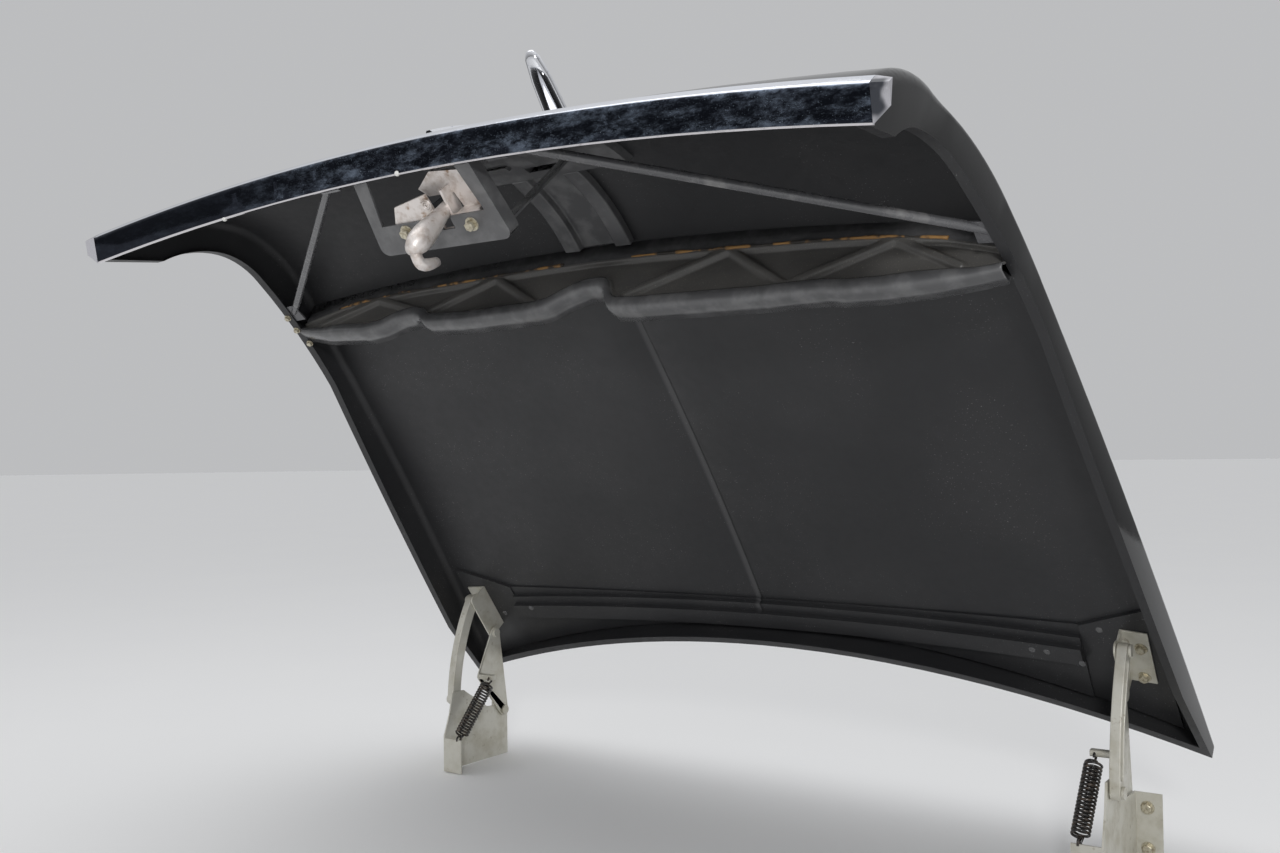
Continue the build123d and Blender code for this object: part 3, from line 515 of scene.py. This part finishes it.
def onBrace(x, height, out):
    return Vector((x, braceFace["footY"], braceFace["footZ"])) + braceUp * height + braceOut * out


def panelHeight(plan, x, out):  # how far up the brace's plane the panel lies
    place = landOn("bonnet_skin", onBrace(x, plan["lookFrom"], out), braceUp)[0]
    if place is None:
        return plan["panelAbove"] + plan["intoPanel"]
    return (toShut(place) - onBrace(x, 0, out)).dot(braceUp) + plan["intoPanel"]


def braceProfile(plan, x):  # out and height of each row, from the panel down the face, round the roll and back up
    rim, top = softLineAt(plan["rim"], x), softLineAt(plan["top"], abs(x))
    nearEnd = softStep((abs(x) - plan["slimFrom"]) / (plan["halfWidth"] - plan["slimFrom"]))
    foot = min(rim + plan["rollHeight"] * (1 - plan["slimShare"] * nearEnd), top - plan["leastFace"])
    rows = [(plan["flangeOut"], panelHeight(plan, x, 0))]
    for row in range(plan["faceRows"] + 1):
        height = top + (foot - top) * row / plan["faceRows"]
        edge = min(top - height, height - foot)
        rib = min(distanceToLine(line, x, height) for line in plan["ribs"])
        raised = max(softStep((plan["ribWidth"] - rib) / (plan["ribWidth"] * plan["ribSoft"])),
                     softStep((plan["border"] - edge) / (plan["border"] * plan["ribSoft"])))
        rows.append((plan["ribHeight"] * (raised - 1), height))
    squeeze = (foot - rim) / plan["rollHeight"]
    rows += [(out * squeeze if out > 0 else out, rim + height * squeeze) for out, height in plan["roll"]]
    rows.append((plan["soffitOut"], panelHeight(plan, x, plan["soffitOut"])))
    return rows


def makeBrace(plan):
    lastFaceRow = plan["faceRows"] + 1
    rowCount = lastFaceRow + 1 + len(plan["roll"])
    bm = bmesh.new()
    bmesh.ops.create_grid(bm, x_segments=plan["columns"], y_segments=rowCount, size=1)
    profiles, rowOf = {}, {}
    for vert in bm.verts:
        column, row = round((vert.co.x + 1) / 2 * plan["columns"]), round((1 - vert.co.y) / 2 * rowCount)
        x = plan["halfWidth"] * (2 * column / plan["columns"] - 1)
        if column not in profiles:
            profiles[column] = braceProfile(plan, x)
        out, height = profiles[column][row]
        rowOf[vert] = row
        vert.co = hood @ onBrace(x, height, out)
    for face in bm.faces:  # the face is dusty; the flange above it and the roll below get the lighter edge paint, painted light
        lastRow = max(rowOf[vert] for vert in face.verts)
        face.material_index = 0 if 1 < lastRow <= lastFaceRow else 1
        face.smooth = True
    bmesh.ops.recalc_face_normals(bm, faces=bm.faces)
    outwards = hood.to_3x3() @ braceOut
    if sum(face.normal.dot(outwards) for face in bm.faces if face.material_index == 0) < 0:
        bmesh.ops.reverse_faces(bm, faces=bm.faces)
    bmesh.ops.solidify(bm, geom=bm.faces[:], thickness=plan["sheet"])
    materials = [finishes["brace_paint"], edgePaintWithPaintedLight]
    finishPiece(bm, "frontCrossBrace", "bonnet", materials, ["front_cross_brace"])


makeBrace(braceFace)

# Ornament: a plain slender blade on a short foot. Each pair is a place along the bonnet and a half height.
bladePlan = {"profile": [(-0.900, 0.003), (-0.960, 0.0075), (-1.040, 0.0115), (-1.110, 0.013), (-1.165, 0.011),
                         (-1.196, 0.008), (-1.206, 0.004)], "tip": 0.0015, "height": 0.097, "widen": 1.5,
             "segments": 40, "poles": 1e-5, "foot": (-0.935, -1.020), "footWidth": 0.010, "footDrop": 0.028,
             "footEase": 0.003, "footSteps": 4}


def makeOrnament(plan):
    bm = bmesh.new()
    line = [bm.verts.new((0, plan["profile"][0][0], 0))]
    line += [bm.verts.new((0, y, radius)) for y, radius in plan["profile"]]
    line.append(bm.verts.new((0, plan["profile"][-1][0] - plan["tip"], 0)))
    edges = [bm.edges.new(pair) for pair in zip(line, line[1:])]
    bmesh.ops.spin(bm, geom=line + edges, cent=(0, 0, 0), axis=(0, 1, 0), angle=2 * pi, steps=plan["segments"],
                   use_merge=True)
    bmesh.ops.remove_doubles(bm, verts=bm.verts, dist=plan["poles"])
    bmesh.ops.recalc_face_normals(bm, faces=bm.faces)
    bmesh.ops.scale(bm, verts=bm.verts, vec=(plan["widen"], 1, 1))
    bmesh.ops.translate(bm, verts=bm.verts, vec=(0, 0, plan["height"]))
    rear, front = plan["foot"]
    middle = Matrix.Translation((0, (rear + front) / 2, plan["height"] - plan["footDrop"] / 2))
    size = Matrix.Diagonal((plan["footWidth"], rear - front, plan["footDrop"], 1))
    foot = bmesh.ops.create_cube(bm, size=1, matrix=middle @ size)
    footEdges = list({edge for vert in foot["verts"] for edge in vert.link_edges})
    bmesh.ops.bevel(bm, geom=footEdges, offset=plan["footEase"], segments=plan["footSteps"], profile=0.5,
                    affect="EDGES", material=-1)
    bmesh.ops.transform(bm, matrix=hood, verts=bm.verts)
    for face in bm.faces:
        face.smooth = True
    finishPiece(bm, "ornamentBlade", "bonnet", [finishes["chrome_trim"]], ["ornament_spear"])


makeOrnament(bladePlan)

# The rest of the imported pieces, smoothed; those with a width in the table also have their edges eased by a fine
# bevel
ownPieces = {"bonnet_skin", "lip_moulding", "lip_cap_left", "lip_cap_right", "front_cross_brace",
             "ornament_spear", "safety_catch", "spring_left", "spring_right"}
easePlan = {"flatWithin": 0.6, "steps": 3, "sharpFrom": 40,
            "widths": {"latch_plate": 0.0012, "latch_support": 0.0015, "hinge_base": 0.0015,
                       "bonnet_bracket": 0.0015, "rear_link": 0.002, "front_link": 0.002,
                       "centre_channel": 0.002, "nose_panel": 0.002, "rear_cross_brace": 0.002}}
painted = {"rear_cross_brace": finishes["panel_paint"], "centre_channel": edgePaintWithPaintedLight,
           "nose_panel": edgePaintWithPaintedLight, "latch_support": edgePaintWithPaintedLight}


def smoothNode(node, plan):
    bm = mergedCopy(node)
    width = plan["widths"].get(node.replace("_left", "").replace("_right", ""))
    if width:
        bmesh.ops.dissolve_limit(bm, angle_limit=radians(plan["flatWithin"]), verts=bm.verts, edges=bm.edges)
    finish = painted.get(node, finishes[slotOf[node]])
    piece = finishPiece(bm, pieceName(node), bodyOf[node], [finish], [node])
    if width:
        bevel = piece.modifiers.new("easedEdges", "BEVEL")
        bevel.width, bevel.segments = width, plan["steps"]
        bevel.limit_method, bevel.angle_limit = "ANGLE", radians(plan["sharpFrom"])


for node in frame["nodes"]:
    if node not in ownPieces:
        smoothNode(node, easePlan)
print("packed shapes smoothed")

# Tubes along points: springs, catch, sealer, spiral
tubeDetail = {"roundSteps": 4, "lineSteps": 3, "doubles": 1e-6}


def makeTube(name, points, radius, body, material, radii=None, standsFor=()):
    curve = bpy.data.curves.new(name + "Line", "CURVE")
    curve.dimensions, curve.bevel_depth, curve.bevel_resolution = "3D", radius, tubeDetail["roundSteps"]
    curve.use_fill_caps, curve.resolution_u = True, tubeDetail["lineSteps"]
    line = curve.splines.new("NURBS")
    line.points.add(len(points) - 1)
    for index, point in enumerate(points):
        line.points[index].co = (*point, 1)
        line.points[index].radius = radii[index] if radii else 1.0
    line.order_u, line.use_endpoint_u = 3, True
    carrier = bpy.data.objects.new(name + "Line", curve)
    bpy.context.scene.collection.objects.link(carrier)
    bpy.context.view_layer.update()
    mesh = bpy.data.meshes.new_from_object(carrier.evaluated_get(bpy.context.evaluated_depsgraph_get()))
    bpy.data.objects.remove(carrier)
    bm = bmesh.new()
    bm.from_mesh(mesh)
    bmesh.ops.remove_doubles(bm, verts=bm.verts, dist=tubeDetail["doubles"])
    bmesh.ops.recalc_face_normals(bm, faces=bm.faces)
    for face in bm.faces:
        face.smooth = True
    return finishPiece(bm, name, body, [material], standsFor)


# Springs between the front tab of each hinge base and the lug of its rear link, wound as they lie with the bonnet
# open and carried by the hinge bases
springPlan = {"x": 0.585, "low": (-0.1815, 0.012), "lug": (-0.083, 0.121), "coils": 20, "coil": 0.0122,
              "wire": 0.0019, "bodyFrom": 0.10, "bodyTo": 0.90, "perTurn": 12, "growSteps": 6, "leastShare": 0.35,
              "hook": 0.006, "hookSteps": 7, "hookTurn": 50, "lowFrom": 250, "lugFrom": -70, "shutShare": 0.45}


def makeSpring(plan, side, sideName):
    low = Vector((side * plan["x"], *plan["low"]))
    top = Vector((side * plan["x"], *plan["lug"]))
    along = top - low
    length = along.length
    along.normalize()
    across = Vector((1, 0, 0))
    other = along.cross(across)
    points = []
    for step in range(plan["hookSteps"]):  # lower hook, most of a turn round the tab, then up to the coils
        angle = radians(plan["lowFrom"] - step * plan["hookTurn"])
        points.append(low + (other * cos(angle) + along * (sin(angle) + 1)) * plan["hook"])
    start, end = plan["bodyFrom"] * length, plan["bodyTo"] * length
    turns = plan["coils"] * plan["perTurn"]
    for step in range(turns + 1):
        angle = 2 * pi * step / plan["perTurn"]
        grow = min(1.0, step / plan["growSteps"], (turns - step) / plan["growSteps"])
        radius = plan["coil"] * max(plan["leastShare"], grow)
        points.append(low + along * (start + (end - start) * step / turns)
                      + (across * cos(angle) + other * sin(angle)) * radius)
    for step in range(plan["hookSteps"]):
        angle = radians(plan["lugFrom"] + step * plan["hookTurn"])
        points.append(top + (other * cos(angle) + along * (sin(angle) - 1)) * plan["hook"])
    spring = makeTube("spring" + sideName, points, plan["wire"], "hinge_bases",
                      finishes["spring_steel"], standsFor=["spring_" + sideName.lower()])
    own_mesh(spring)


for sideName, side in (("Left", -1), ("Right", 1)):
    makeSpring(springPlan, side, sideName)
print("springs wound")

# Safety catch: a cast lobe, round like a bottle, with a small turned-up foot. Each point has y, z and a radius.
catchPlan = {"x": 0.020, "lobe": [(-1.127, -0.196, 0.0085), (-1.125, -0.212, 0.0095), (-1.122, -0.238, 0.0135),
                                  (-1.119, -0.262, 0.0160), (-1.117, -0.280, 0.0140), (-1.116, -0.289, 0.0070)],
             "foot": [(-1.114, -0.281, 0.0075), (-1.100, -0.287, 0.0070), (-1.088, -0.277, 0.0085),
                      (-1.083, -0.258, 0.0060)], "unit": 0.001}


def makeCatch(plan):
    for name, shape, standsFor in (("safetyCatch", "lobe", ["safety_catch"]), ("safetyCatchFoot", "foot", ())):
        points = [hood @ Vector((plan["x"], y, z)) for y, z, radius in plan[shape]]
        radii = [radius / plan["unit"] for y, z, radius in plan[shape]]
        makeTube(name, points, plan["unit"], "bonnet", finishes["zinc_steel"], radii, standsFor)


makeCatch(catchPlan)

# Sealer along the brace's upper edge, in runs either side of the channel. Each wave of its width has a share of
# the radius, how fast it comes and where it starts.
sealerPlan = {"runs": [(-0.540, -0.062), (0.062, 0.540)], "step": 0.012, "radius": 0.0024, "above": 0.001,
              "out": 0.0005, "evenShare": 0.8, "waves": [(0.3, 61, 0), (0.25, 173, 1)]}


def makeSealer(plan, brace):
    for index, (first, last) in enumerate(plan["runs"]):
        points, radii = [], []
        count = round((last - first) / plan["step"])
        for step in range(count + 1):
            x = first + (last - first) * step / count
            points.append(hood @ onBrace(x, softLineAt(brace["top"], abs(x)) + plan["above"], plan["out"]))
            waves = [share * sin(x * pace + start) for share, pace, start in plan["waves"]]
            radii.append(plan["evenShare"] + sum(waves))
        makeTube(f"sealerBead{index + 1}", points, plan["radius"], "bonnet", sealer, radii)


makeSealer(sealerPlan, braceFace)
print("sealer run")

# Bolts, stops and other small fittings. A bolt's size is its width across flats, its height and its washer.
boltShape = {"washerHeight": 0.0014, "washerTaper": 0.95, "washerSides": 28, "ease": 0.0012, "easeSteps": 2}
buttonSides = {"u_segments": 20, "v_segments": 10}


def placing(place, axis):
    return Matrix.Translation(place) @ Vector(axis).to_track_quat("Z", "Y").to_matrix().to_4x4()


def addBolt(bm, place, axis, size):
    flats, height, washer = size
    seat, base = placing(place, axis), boltShape["washerHeight"]
    bmesh.ops.create_cone(bm, cap_ends=True, segments=boltShape["washerSides"], radius1=washer,
                          radius2=washer * boltShape["washerTaper"], depth=base,
                          matrix=seat @ Matrix.Translation((0, 0, base / 2)))
    head = bmesh.ops.create_cone(bm, cap_ends=True, segments=6, radius1=flats / sqrt(3), radius2=flats / sqrt(3),
                                 depth=height, matrix=seat @ Matrix.Translation((0, 0, base + height / 2)))
    faces = {face for vert in head["verts"] for face in vert.link_faces}
    top = max(faces, key=lambda face: (face.calc_center_median() - Vector(place)).length)
    bmesh.ops.bevel(bm, geom=list(top.edges), offset=boltShape["ease"], segments=boltShape["easeSteps"],
                    profile=0.5, affect="EDGES", material=-1)


def addButton(bm, place, axis, radius, height):
    shape = placing(place, axis) @ Matrix.Diagonal((radius, radius, height, 1))
    made = bmesh.ops.create_uvsphere(bm, radius=1, matrix=shape, **buttonSides)
    for face in {face for vert in made["verts"] for face in vert.link_faces}:
        face.smooth = True


boltPlan = {
    "flange": {"node": "bonnet_skin", "sides": {"": 1}, "size": (0.008, 0.004, 0.006),
               "spots": [(-0.617, -0.9067), (-0.620, -0.8786), (-0.6157, -0.847)]},
    "latch": {"node": "latch_support", "sides": {"": 1}, "size": (0.012, 0.007, 0.0095),
              "spots": [(-0.0505, -1.1085), (0.0589, -1.1052)]},
    "bracket": {"node": "bonnet_bracket", "sides": {"_right": 1, "_left": -1}, "size": (0.012, 0.007, 0.0095),
                "spots": [(0.644, -0.180), (0.640, -0.122)]},
}
lookUpFrom = {"bonnet": -0.28, "lip": -0.32}


def makeBolts(plan):
    bm = bmesh.new()
    for entry in plan.values():
        for x, y in entry["spots"]:
            for ending, side in entry["sides"].items():
                place, normal = landUpwards(entry["node"] + ending, side * x, y, lookUpFrom["bonnet"])
                if place is not None:
                    addBolt(bm, place, normal, entry["size"])
    finishPiece(bm, "bonnetBolts", "bonnet", [boltZinc])


makeBolts(boltPlan)

baseBoltPlan = {"x": 0.636, "heights": (0.030, -0.030), "y": -0.003, "size": (0.013, 0.007, 0.010)}


def makeBaseBolts(plan):
    bm = bmesh.new()
    for side in (-1, 1):
        for z in plan["heights"]:
            addBolt(bm, Vector((side * plan["x"], plan["y"], z)), (0, -1, 0), plan["size"])
    finishPiece(bm, "baseBolts", "hinge_bases", [boltZinc])


makeBaseBolts(baseBoltPlan)

# Small pressed spots on the rear brace, in the lightened edge paint that stands in for their highlights, and white
# stops on the lip
spotPlan = {"node": "rear_cross_brace", "radius": 0.0055, "height": 0.0014, "fromBelow": lookUpFrom["bonnet"],
            "spots": [(-0.515, -0.162), (-0.602, -0.136), (0.480, -0.154), (0.503, -0.154), (0.554, -0.140),
                      (0.587, -0.2015)]}
stopPlan = {"node": "lip_moulding", "radius": 0.0034, "height": 0.003, "fromBelow": lookUpFrom["lip"],
            "spots": [(-0.340, -1.1786), (-0.0109, -1.1884)]}


def makeButtons(name, plan, material):
    bm = bmesh.new()
    for x, y in plan["spots"]:
        place, normal = landUpwards(plan["node"], x, y, plan["fromBelow"])
        if place is not None:
            addButton(bm, place, normal, plan["radius"], plan["height"])
    finishPiece(bm, name, "bonnet", [material])


makeButtons("pressedSpots", spotPlan, edgePaintWithPaintedLight)
makeButtons("rubberStops", stopPlan, rubber)

# Spiral of the latch's return spring, lying on the base plate
spiralPlan = {"centre": (0.001, -1.138), "turns": 2.4, "perTurn": 14, "inner": 0.0018, "outer": 0.0085,
              "wire": 0.0011}


def makeSpiral(plan):
    place, normal = landUpwards("latch_plate", *plan["centre"], lookUpFrom["bonnet"])
    flat = placing(place, normal)
    points = []
    count = round(plan["turns"] * plan["perTurn"])
    for step in range(count + 1):
        angle = 2 * pi * plan["turns"] * step / count
        radius = plan["inner"] + (plan["outer"] - plan["inner"]) * step / count
        points.append(flat @ Vector((radius * cos(angle), radius * sin(angle), plan["wire"])))
    makeTube("latchSpiral", points, plan["wire"], "bonnet", finishes["zinc_steel"])


makeSpiral(spiralPlan)
print("bolts and fittings placed")

# Floor, backdrop and lights. The sky brightens from the horizon up to riseTo for all but the camera's rays.
stageLook = {"floorDrop": 0.002, "floorSize": 60.0, "floorNoise": {"scale": 2.0},
             "floorColours": ((0.86, 0.86, 0.86), (0.88, 0.88, 0.875)), "floorRoughness": 0.9,
             "backdrop": 0.52, "horizon": 0.20, "zenith": 0.76, "riseTo": 0.7, "sky": (0.97, 0.98, 1.0)}


def makeFloor(look):
    bm = bmesh.new()
    bmesh.ops.create_grid(bm, x_segments=1, y_segments=1, size=look["floorSize"])
    bmesh.ops.translate(bm, verts=bm.verts, vec=(0, 0, cadBox[0].z - look["floorDrop"]))
    mesh = bpy.data.meshes.new("floor")
    bm.to_mesh(mesh)
    bm.free()
    floor = bpy.data.objects.new("floor", mesh)
    bpy.context.scene.collection.objects.link(floor)
    material, shader, where = startMaterial("paleFloor")
    colour = mixOf(material, noiseOf(material, where, look["floorNoise"]), *look["floorColours"])
    joinTo(material, colour, shader.inputs["Base Color"])
    shader.inputs["Roughness"].default_value = look["floorRoughness"]
    mesh.materials.append(material)


def makeSky(look):
    world = bpy.data.worlds.new("studio")
    world.use_nodes = True
    nodes, links = world.node_tree.nodes, world.node_tree.links
    background = nodes["Background"]
    path = nodes.new("ShaderNodeLightPath")
    coords = nodes.new("ShaderNodeTexCoord")
    split = nodes.new("ShaderNodeSeparateXYZ")
    links.new(coords.outputs["Generated"], split.inputs["Vector"])
    rise = nodes.new("ShaderNodeMapRange")
    rise.inputs["From Max"].default_value = look["riseTo"]
    rise.inputs["To Min"].default_value, rise.inputs["To Max"].default_value = look["horizon"], look["zenith"]
    links.new(split.outputs["Z"], rise.inputs["Value"])
    pick = nodes.new("ShaderNodeMix")
    links.new(path.outputs["Is Camera Ray"], pick.inputs["Factor"])
    links.new(rise.outputs["Result"], pick.inputs["A"])
    pick.inputs["B"].default_value = look["backdrop"]
    links.new(pick.outputs["Result"], background.inputs["Strength"])
    background.inputs["Color"].default_value = (*look["sky"], 1)
    bpy.context.scene.world = world


lamps = {"keyLamp": {"place": (1.80, -3.05, 1.40), "aim": (0, -0.4, 0.65), "size": 0.40, "power": 30},
         "topLamp": {"place": (-0.5, -1.0, 3.6), "aim": (0, -0.3, 0.6), "size": 2.5, "power": 22}}


def makeLamp(name, plan):
    data = bpy.data.lights.new(name, "AREA")
    data.size, data.energy = plan["size"], plan["power"]
    lamp = bpy.data.objects.new(name, data)
    lamp.location = plan["place"]
    lamp.rotation_euler = (Vector(plan["aim"]) - Vector(plan["place"])).to_track_quat("-Z", "Y").to_euler()
    bpy.context.scene.collection.objects.link(lamp)


makeFloor(stageLook)
makeSky(stageLook)
for name, plan in lamps.items():
    makeLamp(name, plan)
bpy.context.scene.view_settings.view_transform = "Standard"
print("stage and lamps set")
